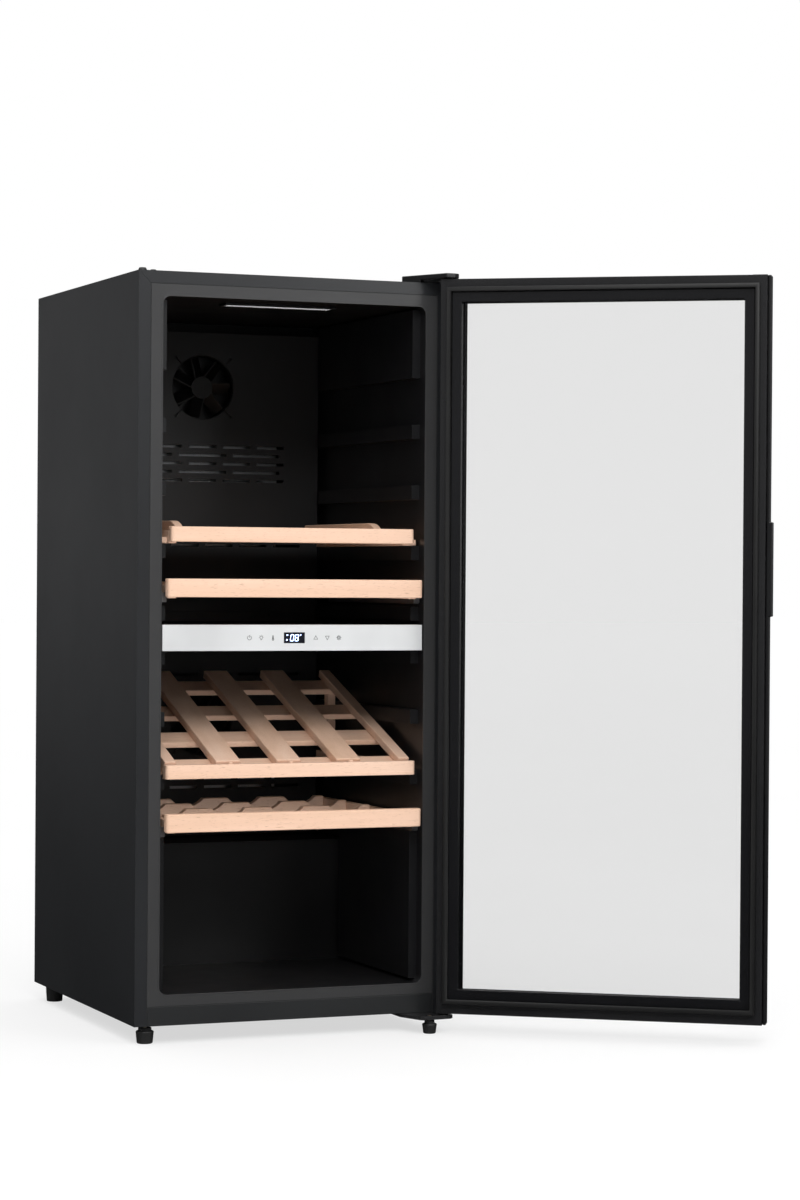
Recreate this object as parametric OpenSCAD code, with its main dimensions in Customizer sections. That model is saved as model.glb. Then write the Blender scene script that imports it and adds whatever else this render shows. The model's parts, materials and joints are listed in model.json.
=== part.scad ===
// Two-zone wine cooler: black cabinet, glass door on the right, wooden shelves and a panel between zones.
// Millimetres. Origin on the floor under the middle of the cabinet, front faces -Y, up is +Z.

/* [Cabinet] */
// Width of the cabinet over its side panels
body_w = 550; // [450:1:650]
// Depth of the cabinet from front flange to back panel, without the door
body_d = 596; // [520:1:680]
// Height of the cabinet without its feet
body_h = 1235; // [1150:1:1500]
// Height of the cabinet's underside above the floor
foot_h = 30; // [26:1:45]
// Thickness of the side, top and back sheets
sheet_t = 1; // [0.6:0.1:1.5]
// Width of the front flange folded from the outer sheet
flange_w = 20.5; // [14:0.5:30]
// Groove between the outer flange and the liner's flange
groove = 1; // [0.5:0.1:2]
// Seam between the three sheets of the outer shell
seam = 0.2; // [0.1:0.1:0.5]
// Height of the kick panel below the opening
kick_h = 31; // [20:1:60]

/* [Liner] */
// Distance from the outer side to the opening
wall_t = 42.2; // [36:0.1:60]
// Height of the opening's lower edge above the cabinet's underside
sill_h = 50.6; // [44:0.1:90]
// Distance from the opening's upper edge to the cabinet's top
head_t = 41; // [36:0.5:70]
// Thickness of the liner
liner_t = 2; // [1.5:0.1:4]
// Radius of the opening's corners
corner_r = 13; // [6:1:20]
// Inside depth of the cabinet above the machine step
liner_d = 520; // [470:1:560]
// Width of the raised bead round the opening
bead_w = 2.4; // [1.5:0.1:4]
// Height of the raised bead
bead_t = 0.3; // [0.2:0.1:0.4]
// How far the side guides stand out from the wall
guide_out = 14; // [10:0.5:18]
// Height of one side guide
guide_h = 24; // [16:0.5:30]
// Distance from one guide to the next
guide_pitch = 102.9; // [90:0.1:120]
// Gap between the tilted shelf's fascia and the guides' front ends
guide_gap = 1; // [0.5:0.1:6]
// Length of the side guides
guide_len = 440; // [300:1:450]
// Top of the lowest guide of the upper zone, above the cabinet's underside
upper_guide_top = 687.1; // [660:0.1:720]
// Number of guides on each side of the upper zone
upper_guides = 4; // [2:1:5]
// Top of the lowest guide of the lower zone, above the cabinet's underside
lower_guide_top = 409; // [400:0.1:420]
// Number of guides on each side of the lower zone
lower_guides = 3; // [1:1:3]
// Height of the tall pad at the ceiling
top_pad_h = 115.1; // [60:0.1:130]
// Gap between the tall pad and the ceiling
top_pad_gap = 4.1; // [2:0.1:12]
// Upper edge of the tall pad at the floor, above the cabinet's underside
floor_pad_top = 305.5; // [290:0.1:312]
// Gap between the tall pad and the floor of the cabinet
floor_pad_gap = 5.1; // [2:0.1:12]

/* [Machine compartment] */
// Depth of the machine compartment
mach_d = 205; // [180:1:230]
// Height of the machine compartment
mach_h = 235; // [215:1:250]
// Foam thickness between the compartment and the liner
step_wall = 30; // [24:1:40]
// Radius of the compressor's shell
comp_r = 62; // [50:1:70]
// Height of the compressor's shell above its rubber mounts
comp_h = 150; // [120:1:165]
// Height of the compressor's rubber mounts
mount_h = 14; // [8:1:20]
// Sideways place of the compressor
comp_x = 120; // [80:1:160]
// Outer radius of the refrigerant tubes
pipe_r = 3; // [2:0.5:4]
// Width of the condenser
cond_w = 200; // [150:1:260]
// Spacing of the tubes in condenser and evaporators
tube_pitch = 24; // [18:1:30]
// Radius of the hole in the cord gland
gland_bore_r = 4.2; // [3:0.1:6]
// Radius of the cord gland's body
gland_r = 8; // [7:0.5:12]
// Radius of the cord gland's flange
gland_flange_r = 12; // [10:0.5:16]

/* [Air ducts and fans] */
// Distance of the duct covers' faces behind the front flange
duct_y = 480; // [440:1:490]
// Thickness of the duct covers
duct_t = 3; // [2:0.5:4]
// Gap between a duct cover and the side walls
duct_side = 10; // [4:1:20]
// Side of a fan's square frame
fan_w = 120; // [80:1:120]
// Depth of a fan's frame
fan_d = 25; // [20:1:28]
// Diameter of the opening in front of a fan
fan_open_d = 117; // [84:1:120]
// Radius of the round passage in a fan's frame
fan_r = 57; // [38:1:57]
// Spacing of a fan's corner holes
fan_holes = 105; // [72:0.5:105]
// Radius of a fan's shaft
shaft_r = 2; // [1.5:0.1:3]
// Radial clearance of a running fit
run_fit = 0.06; // [0.02:0.01:0.1]
// Gap between the impeller's blades and the passage
tip_gap = 2; // [1:0.1:4]
// Number of impeller blades
blades = 7; // [5:1:9]
// Distance of the upper fan's centre below the opening's upper edge
upper_fan_drop = 117; // [95:1:130]
// Height of the lower fan's centre above the cabinet's underside
lower_fan_z = 470; // [440:1:480]
// Gap between the upper duct cover and the ceiling
duct_head = 18.5; // [4:0.5:30]
// Distance of the upper duct's first row of slots below the fan's centre
slot_drop = 107; // [90:1:120]
// Distance from one row of slots to the next
slot_pitch = 15.2; // [10:0.1:20]
// Height of a duct slot
slot_h = 5; // [3:0.5:8]
// Length of a short duct slot
slot_w = 52; // [40:1:60]
// Gap between duct slots in one row
slot_gap = 13; // [10:1:20]

/* [Divider, panel and light] */
// Underside of the divider between the zones, above the cabinet's underside
divider_z = 618; // [616:1:625]
// Thickness of the divider
divider_t = 34; // [24:1:36]
// Gap between the control panel and each side of the opening
panel_side = 2.3; // [1:0.1:20]
// Height of the control panel
panel_h = 43.2; // [36:0.1:44]
// Depth of the control panel
panel_d = 20; // [12:1:22]
// Distance of the control panel's face behind the front flange
panel_y = 2; // [1:0.5:6]
// Width of the display window
window_w = 37; // [25:1:60]
// Height of the display window
window_h = 18; // [12:1:26]
// Thickness of the display window
window_t = 1.2; // [0.8:0.1:2]
// Length of the ceiling light's lens
lens_w = 188; // [120:1:260]
// Depth of the ceiling light's lens, front to back
lens_d = 26; // [16:1:40]
// Distance of the light behind the front flange
light_y = 78; // [40:1:160]
// Depth of the light below the ceiling
light_t = 4; // [4:0.5:10]

/* [Door] */
// Angle the door stands open at
door_open = 145; // [90:1:150]
// Gap between the door's side and the cabinet's side line
door_side = 0.8; // [0:0.1:3]
// Gap between the door and the bottom hinge bracket
door_foot = 2.5; // [2.5:0.1:6]
// Gap between the door and the top hinge plate
door_head = 1; // [1:0.1:4]
// Gap between the front flange and the door's inner face
door_gap = 8; // [6:0.5:12]
// Thickness of the whole door
door_t = 42; // [38:0.5:60]
// Distance of the hinge axis from the cabinet's side line
hinge_in = 12; // [10:0.5:20]
// Distance of the hinge axis in front of the front flange
hinge_out = 29; // [26:0.5:36]
// Thickness of the door's inner plastic frame
inner_frame_t = 14; // [10:0.5:18]
// Height of the ridge on the door's inner frame
ridge_t = 3; // [2:0.5:5]
// Distance from the door's side edge to the clear glass
clear_side = 37; // [34:0.1:60]
// Distance from the door's lower edge to the clear glass
clear_foot = 42; // [34:0.5:70]
// Distance from the door's upper edge to the clear glass
clear_head = 39.5; // [34:0.5:70]
// Thickness of the inner pane
inner_pane_t = 3; // [3:0.5:5]
// Thickness of the outer pane
outer_pane_t = 4; // [3:0.5:6]
// Width of the door's side bars between the panes
bar_w = 17.5; // [16:0.5:24]
// Width of the spacer between the panes
spacer_w = 11; // [6:0.5:12]
// Width of the door gasket
gasket_w = 8; // [6:0.5:11]
// Distance from the clear glass to the gasket
gasket_in = 17; // [8:0.1:22]
// Depth of the gasket's groove in the inner frame
gasket_seat = 1.5; // [1:0.5:4]
// Gap between the gasket and the cabinet when the door is shut
gasket_gap = 0.6; // [0.4:0.1:1]
// Radius of the hinge pins
pin_r = 4; // [3:0.5:5]
// Radius of the hinge bushes
bush_r = 6.5; // [5.5:0.1:8]
// Height of the hinge bushes
bush_h = 16; // [12:1:25]
// Thickness of the top hinge plate
plate_t = 3; // [2:0.5:4]
// Height of the block that lifts the top hinge plate off the cabinet
hinge_lift = 5; // [0.5:0.5:8]
// Thickness of the bottom hinge bracket
bracket_t = 6; // [3:0.5:8]
// Height of the top hinge cover above the hinge plate
cover_over = 4.5; // [3:0.5:8]
// Length of the edge grip
grip_l = 156; // [100:1:220]
// Height of the edge grip's middle above the cabinet's underside
grip_z = 754; // [500:1:900]
// Thickness of the strip along the door's free edge
strip_t = 5; // [1:0.5:8]
// How far the edge grip stands out from that strip
grip_out = 4; // [2:0.5:8]
// Height of the end caps above the door
cap_t = 1; // [0.5:0.1:1.2]

/* [Shelves] */
// Thickness of a shelf's wooden fascia
fascia_t = 18; // [14:1:24]
// Radius of a fascia's front corners
fascia_r = 6; // [2:0.5:8]
// Thickness of a shelf's side rails
rail_t = 14; // [10:0.5:16]
// Gap between a shelf and the guides it slides on
slide_gap = 0.4; // [0.3:0.1:0.8]
// Gap between the outer bottle lanes and the guides
lane_side = 4.8; // [0:0.1:20]
// Number of lanes on a shelf
lanes = 4; // [3:1:4]
// Depth of the shelves behind the front flange
shelf_d = 430; // [380:1:440]
// Gap between the standing shelf and the guides above and below it
stand_side = 3.3; // [1.5:0.1:8]
// Height of the standing shelf's fascia
stand_h = 25; // [22:0.5:32]
// Distance of the standing shelf's fascia behind the front flange
stand_y = 1.6; // [0:0.1:8]
// Height of the standing shelf's cheeks above its slats
cheek_h = 18; // [10:1:30]
// Gap between the tilted shelf's fascia and each side of the opening
tilt_side = 11.3; // [6:0.1:13]
// Height of the tilted shelf's fascia
tilt_h = 23; // [20:0.5:32]
// Distance of the tilted shelf's fascia behind the front flange
tilt_y = 5; // [0:0.1:12]
// Slope of the tilted shelf's planks
tilt_angle = 20; // [10:1:21]
// Thickness of the cross boards under the tilted shelf's planks
deck_slat_t = 10; // [8:0.5:14]
// Thickness of the tilted shelf's planks
plank_t = 14; // [8:0.5:18]
// Width of a plank between two lanes
plank_w = 44; // [30:1:56]
// Width of the planks along the tilted shelf's sides
edge_plank_w = 20; // [14:1:30]
// Gap between the pull-out shelves' fascias and each side of the opening
pull_side = 7.3; // [5:0.1:20]
// Height of the pull-out shelves' fascias
pull_h = 30.3; // [24:0.1:36]
// How far the pull-out shelves' fascias stand in front of the front flange
pull_out = 13.5; // [5:0.1:14]
// Height of the upper pull-out shelf's fascia above the divider
pull_upper_gap = 50; // [46:0.1:60]
// Height of the lower pull-out shelf's fascia above the machine step
pull_lower_gap = 51.5; // [30:0.1:58]
// Height of a telescopic runner
runner_h = 20; // [16:0.5:24]
// Sheet thickness of a telescopic runner
runner_t = 1.5; // [1:0.1:2]
// Play of a telescopic runner
runner_play = 0.5; // [0.3:0.1:1]

/* [Feet] */
// Radius of the left front foot at its top
foot_r = 15; // [12:0.5:20]
// Distance of the feet from the cabinet's side line
foot_in = 25; // [22:0.5:40]
// Distance of the left front foot behind the front flange
foot_y = 22; // [20:0.5:40]
// Radius of the right front foot, which stands under the hinge bracket
bracket_foot_r = 12.5; // [11:0.5:14]
// Distance of the right front foot from the cabinet's side line
bracket_foot_in = 42; // [38:0.5:50]
// Distance of the right front foot in front of the front flange
bracket_foot_out = 36; // [30:0.5:40]
// Stud left in sight between the right front foot and the hinge bracket
bracket_gap = 2; // [1.5:0.5:4]
// Radius of a front foot's stud
stud_r = 4; // [3:0.5:5]
// Stud left in sight between the left front foot and the cabinet
stud_gap = 4; // [3.5:0.5:10]

/* [Hidden] */
$fn = 64;

half_w = body_w / 2;
front = -body_d / 2;
back = body_d / 2;
base_z = foot_h;
top_z = foot_h + body_h;
open_x = half_w - wall_t;
open_z0 = base_z + sill_h;
open_z1 = top_z - head_t;
liner_x = half_w - flange_w - groove;
mach_y = back - mach_d;
mach_z = base_z + mach_h;
step_y = mach_y - step_wall;
step_z = mach_z + step_wall;
tray_t = 1.5;
nut_r = 9;
nut_h = 14.5;
guide_x = open_x - guide_out;
guide_front = tilt_y + fascia_t + guide_gap;
duct_x = open_x - duct_side;
duct_face = front + duct_y;
duct_rear = duct_face + duct_t;
liner_rear = front + liner_d;
divider_z0 = base_z + divider_z;
divider_z1 = divider_z0 + divider_t;
panel_z0 = divider_z0 + (divider_t - panel_h) / 2;
panel_w = 2 * (open_x - panel_side);
upper_fan = open_z1 - upper_fan_drop;
lower_fan = base_z + lower_fan_z;
upper_duct_z0 = divider_z1 + 3;
upper_duct_z1 = open_z1 - duct_head;
lower_duct_z0 = step_z + 3;
lower_duct_z1 = divider_z0 - 3;
hub_r = 20;

hinge_x = half_w - hinge_in;
hinge_y = front - hinge_out;
door_x = half_w - door_side;
door_z0 = base_z + door_foot;
plate_z = top_z + hinge_lift;
door_z1 = plate_z - door_head;
door_in = front - door_gap;
door_out = door_in - door_t;
clear_x = door_x - clear_side;
clear_z0 = door_z0 + clear_foot;
clear_z1 = door_z1 - clear_head;
frame_y = door_in - inner_frame_t;
outer_pane_y = door_out + outer_pane_t;
bar_x = door_x - 1.5;
pane_x = bar_x - bar_w - 1;
pin_in = bush_h - 4;

lane = 2 * (guide_x - lane_side) / lanes;
stand_w = 2 * (guide_x - stand_side);
tilt_w = 2 * (open_x - tilt_side);
pull_w = 2 * (open_x - pull_side);
stand_z = base_z + upper_guide_top + guide_pitch + 3;
stand_top = stand_z + 18;
tilt_z = base_z + lower_guide_top - 6;
deck_gap = 6;
plank_z = deck_slat_t + plank_t;
plank_y = (plank_z * sin(tilt_angle) - deck_gap + 1) / cos(tilt_angle);
pull_upper_z = divider_z + divider_t + pull_upper_gap;
pull_lower_z = mach_h + step_wall + pull_lower_gap;
shelf_back = front + shelf_d;
cleat_x = open_x - 3.8;
runner_len = 400;
runner_in = open_x - 9;
runner_y = front + guide_front;
cradle_r = 40;

foot_x = half_w - foot_in;
foot_front = front + foot_y;
bracket_foot_x = half_w - bracket_foot_in;
bracket_foot_y = front - bracket_foot_out;
stud_z = 6;

// A box between two opposite corners.
module box(lo, hi) {
    translate(lo) cube(hi - lo);
}

// The same piece on both sides of the cabinet.
module both_sides() {
    children();
    mirror([1, 0, 0]) children();
}

// A rounded rectangle centred on the origin.
module rounded(w, h, r) {
    square([w - 2 * r, h], center = true);
    square([w, h - 2 * r], center = true);
    for (sx = [-1, 1], sy = [-1, 1])
        translate([sx * (w / 2 - r), sy * (h / 2 - r)]) circle(r);
}

// A bar along Y with a rounded section, centred at height z.
module bar_y(w, h, r, z, y0, y1) {
    translate([0, y1, z]) rotate([90, 0, 0]) linear_extrude(y1 - y0) rounded(w, h, r);
}

// A rod along Y.
module rod_y(x, z, r, y0, y1) {
    translate([x, y1, z]) rotate([90, 0, 0]) cylinder(r = r, h = y1 - y0);
}

// A rectangular ring in the XZ plane, between two boxes that share their y limits.
module ring(x_out, z0_out, z1_out, x_in, z0_in, z1_in, y0, y1) {
    difference() {
        box([-x_out, y0, z0_out], [x_out, y1, z1_out]);
        box([-x_in, y0 - 1, z0_in], [x_in, y1 + 1, z1_in]);
    }
}

// The space inside the liner, grown by g on every wall; it starts at y0, and ease sharpens its corners.
module cavity(g, y0, ease = 0) {
    w = 2 * (open_x + g);
    h = open_z1 - open_z0 + 2 * g;
    difference() {
        bar_y(w, h, corner_r + g - ease, (open_z0 + open_z1) / 2, y0, liner_rear + g);
        box([-open_x - g - 1, step_y + g, open_z0 - g - 1], [open_x + g + 1, liner_rear + g + 1, step_z - g]);
    }
}

// One side's guides, from the wall inwards.
module guides() {
    y0 = front + guide_front;
    y1 = y0 + guide_len;
    pad_y1 = step_y - 12;
    x1 = open_x + liner_t;
    for (i = [0 : upper_guides - 1])
        box([guide_x, y0, base_z + upper_guide_top + i * guide_pitch - guide_h],
            [x1, y1, base_z + upper_guide_top + i * guide_pitch]);
    for (i = [0 : lower_guides - 1])
        box([guide_x, y0, base_z + lower_guide_top + i * guide_pitch - guide_h],
            [x1, y1, base_z + lower_guide_top + i * guide_pitch]);
    box([guide_x, y0, open_z1 - top_pad_gap - top_pad_h], [x1, y1, open_z1 - top_pad_gap]);
    box([guide_x, y0, open_z0 + floor_pad_gap], [x1, pad_y1, base_z + floor_pad_top]);
}

// Serpentine tube in the XZ plane, centred on x, with its lowest run at z.
module serpentine(w, runs, r, x, y, z) {
    bend = tube_pitch / 2;
    for (i = [0 : runs - 1])
        translate([x - w / 2, y, z + i * tube_pitch]) rotate([0, 90, 0]) cylinder(r = r, h = w);
    for (i = [0 : runs - 2])
        translate([x + (i % 2 == 0 ? w / 2 : -w / 2), y, z + (i + 0.5) * tube_pitch])
            rotate([90, 0, 0]) rotate([0, 0, i % 2 == 0 ? -90 : 90])
                rotate_extrude(angle = 180) translate([bend, 0]) circle(r);
}

// One row of duct slots centred on x = 0.
module slot_row(z, n, w, gap) {
    for (i = [0 : n - 1])
        translate([(i - (n - 1) / 2) * (w + gap), duct_face + duct_t / 2, z])
            cube([w, duct_t + 2, slot_h], center = true);
}

// Hollow duct cover with an opening for its fan.
module duct_cover(z0, z1, fan_z) {
    difference() {
        box([-duct_x, duct_face, z0], [duct_x, liner_rear, z1]);
        box([-duct_x + duct_t, duct_rear, z0 + duct_t], [duct_x - duct_t, liner_rear + 1, z1 - duct_t]);
        rod_y(0, fan_z, fan_open_d / 2, duct_face - 1, duct_rear + 1);
        for (sx = [-1, 1], sz = [-1, 1]) {
            rod_y(sx * fan_holes / 2, fan_z + sz * fan_holes / 2, 3, duct_face - 1, duct_rear + 1);
            translate([sx * (fan_holes / 2 - 5), duct_face + 1, fan_z + sz * (fan_holes / 2 - 5)])
                rotate([0, -45 * sx * sz, 0]) cube([20, 4, 2], center = true);
        }
        children();
    }
}

// Square fan frame with its hub, struts and shaft; the hub is at the back.
module fan_frame(z) {
    y0 = duct_rear;
    y1 = duct_rear + fan_d;
    difference() {
        box([-fan_w / 2, y0, z - fan_w / 2], [fan_w / 2, y1, z + fan_w / 2]);
        rod_y(0, z, fan_r, y0 - 1, y1 + 1);
    }
    rod_y(0, z, hub_r, y1 - 4, y1);
    rod_y(0, z, shaft_r, y0 + 4, y1 - 4);
    for (a = [45 : 90 : 315])
        translate([0, y1 - 2, z]) rotate([0, a, 0]) translate([hub_r - 1, -2, -2.5])
            cube([fan_r - hub_r + 2, 4, 5]);
}

// Impeller with pitched blades round a hub that runs on the fan's shaft.
module impeller(z) {
    y0 = duct_rear + 3;
    y1 = duct_rear + fan_d - 6;
    tip_r = fan_r - tip_gap;
    difference() {
        union() {
            rod_y(0, z, hub_r, y0, y1);
            intersection() {
                rod_y(0, z, tip_r, y0 + 1, y1 - 1);
                for (i = [0 : blades - 1])
                    translate([0, (y0 + y1) / 2, z]) rotate([0, i * 360 / blades, 0])
                        rotate([38, 0, 0]) translate([hub_r - 2, -1, -12]) cube([tip_r - hub_r + 4, 2, 24]);
            }
        }
        rod_y(0, z, shaft_r + run_fit, y0 - 1, y1 + 1);
    }
}

// Everything on the door, turned from shut to where it stands.
module on_door() {
    translate([hinge_x, hinge_y, 0]) rotate([0, 0, door_open]) translate([-hinge_x, -hinge_y, 0]) children();
}

// Everything on the tilted deck, in a frame whose X is across and whose Y runs up the slope.
module on_slope() {
    translate([0, front + tilt_y + fascia_t + deck_gap, tilt_z + 4]) rotate([tilt_angle, 0, 0]) children();
}

// Fascia board of a shelf with rounded front corners.
module fascia(w, h, y, z) {
    translate([0, 0, z]) linear_extrude(h) intersection() {
        translate([0, y + fascia_t / 2 + fascia_r]) rounded(w, fascia_t + 2 * fascia_r, fascia_r);
        translate([-w, y]) square([2 * w, fascia_t]);
    }
}

// Cross bar of a pull-out shelf, scalloped for one bottle in each lane.
module cradle(y, z) {
    difference() {
        box([-pull_rail_x0(), y, z], [pull_rail_x0(), y + 16, z + 22]);
        for (i = [0 : lanes - 1])
            rod_y((i - (lanes - 1) / 2) * lane, z + 8 + cradle_r, cradle_r, y - 1, y + 17);
    }
}

// Inner and outer faces of a pull-out shelf's side rails.
function pull_rail_x0() = pull_rail_x1() - rail_t;
function pull_rail_x1() = runner_in - 3.8;

module pull_fascia(z) {
    fascia(pull_w, pull_h, front - pull_out, base_z + z);
}

module pull_sides(z) {
    both_sides() box([pull_rail_x0(), front - pull_out + fascia_t, base_z + z - 2],
                     [pull_rail_x1(), shelf_back - 5, base_z + z + 20]);
}

module pull_cradles(z) {
    for (y = [60 : 112 : shelf_d - 20]) cradle(front + y, base_z + z + 2);
}

// Moving members of a pair of runners, fixed to the outside of a shelf's rails.
module pull_runners(z) {
    play = runner_t + runner_play;
    z0 = base_z + z - 10.5 + play;
    both_sides() box([pull_rail_x1(), runner_y - 10, z0],
                     [open_x - runner_t - 1, runner_y + runner_len - 12, z0 + runner_h - 2 * play]);
}

// Fixed channel of one runner, screwed to the wall.
module rail_channel(z) {
    z0 = base_z + z - 10.5;
    difference() {
        box([runner_in, runner_y, z0], [open_x, runner_y + runner_len, z0 + runner_h]);
        box([runner_in - 1, runner_y - 1, z0 + runner_t],
            [open_x - runner_t, runner_y + runner_len + 1, z0 + runner_h - runner_t]);
    }
}

// Plan of the top hinge plate: a tongue from the cabinet out to the hinge axis.
module plate_plan() {
    polygon([[half_w - 60, front + 33], [half_w - 3.5, front + 33], [half_w - 3.5, hinge_y],
             [hinge_x - 9, hinge_y - 4], [half_w - 46, front + 4]]);
    translate([hinge_x, hinge_y]) circle(9);
}

// Plan of the bottom hinge bracket, which reaches out in front of the cabinet and under the door.
module bracket_plan() {
    polygon([[half_w - 81, front + 45], [half_w - 2, front + 45], [half_w - 2, hinge_y - 12],
             [half_w - 8, hinge_y - 18], [half_w - 58, hinge_y - 22], [half_w - 63, hinge_y - 18],
             [half_w - 81, front]]);
}

// Side and top sheets with the flange folded round the front, mitred at the corners.
module outer_shell() {
    color([0.05, 0.05, 0.055]) {
        both_sides() difference() {
            union() {
                box([half_w - sheet_t, front, base_z], [half_w, back, top_z]);
                box([half_w - flange_w, front, base_z], [half_w, front + sheet_t, top_z]);
            }
            translate([half_w - sheet_t - seam, front + sheet_t, top_z - sheet_t - seam])
                cube([2 * sheet_t, body_d, 2 * sheet_t + 1]);
            translate([half_w, front - 1, top_z]) rotate([0, -45, 0])
                translate([-2 * flange_w, 0, -seam / 2]) cube([4 * flange_w, sheet_t + 2, 2 * flange_w]);
        }
        difference() {
            union() {
                box([-half_w, front, top_z - sheet_t], [half_w, back, top_z]);
                box([-half_w, front, top_z - flange_w], [half_w, front + sheet_t, top_z]);
            }
            both_sides() translate([half_w, front - 1, top_z]) rotate([0, -45, 0])
                translate([-2 * flange_w, 0, -2 * flange_w + seam / 2])
                    cube([4 * flange_w, sheet_t + 1 + seam, 2 * flange_w]);
        }
    }
}

// Moulded tub with its front flange, bead, guides and the step over the machine compartment.
// The flange's thin rim runs on behind the outer flange and the kick panel.
module inner_liner() {
    color([0.08, 0.08, 0.085]) {
        difference() {
            union() {
                cavity(liner_t, front);
                box([-liner_x, front, base_z + kick_h + groove],
                    [liner_x, front + liner_t, top_z - flange_w - groove]);
                box([-half_w + sheet_t, front + sheet_t, base_z],
                    [half_w - sheet_t, front + liner_t, top_z - sheet_t]);
                bar_y(2 * (open_x + bead_w), open_z1 - open_z0 + 2 * bead_w, corner_r + bead_w,
                      (open_z0 + open_z1) / 2, front - bead_t, front + liner_t);
            }
            cavity(0, front - 1);
        }
        intersection() {
            both_sides() guides();
            cavity(liner_t / 2, front);
        }
    }
}

// Foam between the sheets and the liner.
module insulation() {
    color([0.85, 0.82, 0.65]) difference() {
        box([-half_w + sheet_t, front + liner_t, base_z + tray_t],
            [half_w - sheet_t, back - sheet_t, top_z - sheet_t]);
        cavity(liner_t, front - 1, 1.5);
        box([-half_w, mach_y, base_z], [half_w, back, mach_z]);
        translate([-foot_x, foot_front, base_z]) cylinder(r = nut_r, h = tray_t + nut_h);
    }
}

// Flat sheet over the back above the machine compartment, with two pressed ribs.
module back_panel() {
    color([0.12, 0.12, 0.125]) difference() {
        box([-half_w + sheet_t, back - sheet_t, mach_z], [half_w - sheet_t, back, top_z - sheet_t]);
        both_sides() box([half_w - 110, back - 0.4, mach_z + 80], [half_w - 90, back + 1, top_z - 80]);
    }
}

// Bottom sheet with a welded nut for the left front foot, bent up round the machine compartment.
module base_tray() {
    color([0.2, 0.2, 0.21]) difference() {
        union() {
            box([-half_w + sheet_t, front + liner_t, base_z],
                [half_w - sheet_t, back - sheet_t, base_z + tray_t]);
            box([-half_w + sheet_t, mach_y, base_z], [half_w - sheet_t, mach_y + tray_t, mach_z]);
            box([-half_w + sheet_t, mach_y, mach_z - tray_t], [half_w - sheet_t, back - sheet_t, mach_z]);
            translate([-foot_x, foot_front, base_z]) cylinder(r = nut_r, h = tray_t + nut_h);
        }
        translate([-foot_x, foot_front, base_z - 1]) cylinder(r = stud_r + run_fit, h = tray_t + nut_h + 2);
    }
}

// Kick panel under the opening.
module kick_panel() {
    color([0.06, 0.06, 0.065]) box([-liner_x, front, base_z], [liner_x, front + sheet_t, base_z + kick_h]);
}

// Height of the compressor's lower tube, and the sideways place where both tubes join its stubs.
function tube_z() = base_z + tray_t + mount_h + comp_h - 60;
function stub_x() = comp_x - comp_r - 10;

// Hermetic compressor: shell, waist seam, two tube stubs and foot plate.
module compressor() {
    y = mach_y + mach_d / 2;
    z = base_z + tray_t + mount_h;
    color([0.03, 0.03, 0.03]) {
        translate([comp_x, y, z + 2]) rotate_extrude()
            polygon([[0, 0], [comp_r - 12, 0], [comp_r, 14], [comp_r, comp_h - 30],
                     [comp_r - 10, comp_h - 12], [comp_r - 32, comp_h], [0, comp_h]]);
        translate([comp_x, y, z + 2 + comp_h / 2]) cylinder(r = comp_r + 3, h = 4);
        for (s = [0, 1]) translate([stub_x(), y - 20 + s * 40, tube_z() + s * 30])
            rotate([0, 90, 0]) cylinder(r = pipe_r + 1.5, h = 30);
        box([comp_x - 85, y - 50, z], [comp_x + 85, y + 50, z + 3]);
    }
}

// Four rubber mounts under the compressor's foot plate.
module compressor_mounts() {
    y = mach_y + mach_d / 2;
    color([0.1, 0.1, 0.1]) for (sx = [-1, 1], sy = [-1, 1])
        translate([comp_x + sx * 74, y + sy * 40, base_z + tray_t]) cylinder(r = 8, h = mount_h);
}

// Copper tubes from the compressor to the condenser.
module refrigerant_pipes() {
    y = mach_y + mach_d / 2;
    z = tube_z();
    x0 = stub_x();
    x1 = cond_x() + cond_w / 2 + tube_pitch / 2 + 10;
    color([0.72, 0.42, 0.28]) {
        translate([x1, y - 20, z]) rotate([0, 90, 0]) cylinder(r = pipe_r, h = x0 - x1);
        translate([x1, y - 20, z - 60]) cylinder(r = pipe_r, h = 60);
        translate([x1, y - 20, z]) sphere(r = pipe_r + 1.2);
        translate([x1, y + 20, z + 30]) rotate([0, 90, 0]) cylinder(r = pipe_r, h = x0 - x1);
        translate([x1, y + 20, z + 30]) cylinder(r = pipe_r, h = mach_z - tray_t - z - 30);
        translate([x1, y + 20, z + 30]) sphere(r = pipe_r + 1.2);
    }
}

// Sideways place of the condenser, clear of the compressor.
function cond_x() = comp_x - comp_r - 50 - cond_w / 2;

// Serpentine condenser standing in the machine compartment.
module condenser() {
    y = mach_y + mach_d / 2;
    color([0.05, 0.05, 0.05]) {
        serpentine(cond_w, 7, pipe_r, cond_x(), y, base_z + 24);
        both_sides_at(cond_x()) box([cond_w / 2 - 30, y - 1, base_z + tray_t],
                                    [cond_w / 2 - 24, y + 1, base_z + 36 + 6 * tube_pitch]);
    }
}

// The same piece on both sides of a plane at x.
module both_sides_at(x) {
    translate([x, 0, 0]) both_sides() children();
}

// Slotted cover over the machine compartment.
module rear_cover() {
    color([0.1, 0.1, 0.105]) difference() {
        box([-half_w + sheet_t, back - sheet_t, base_z + tray_t + 0.5], [half_w - sheet_t, back, mach_z - 0.5]);
        for (i = [-10 : 10], j = [0 : 1])
            if (abs(i * 20 - gland_x()) > 30)
                box([i * 20 - 3, back - 2, base_z + 50 + j * 90],
                    [i * 20 + 3, back + 1, base_z + 120 + j * 90]);
        rod_y(gland_x(), base_z + 40, gland_r, back - 2, back + 1);
    }
}

// Sideways place of the cord gland.
function gland_x() = -half_w + 60;

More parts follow.
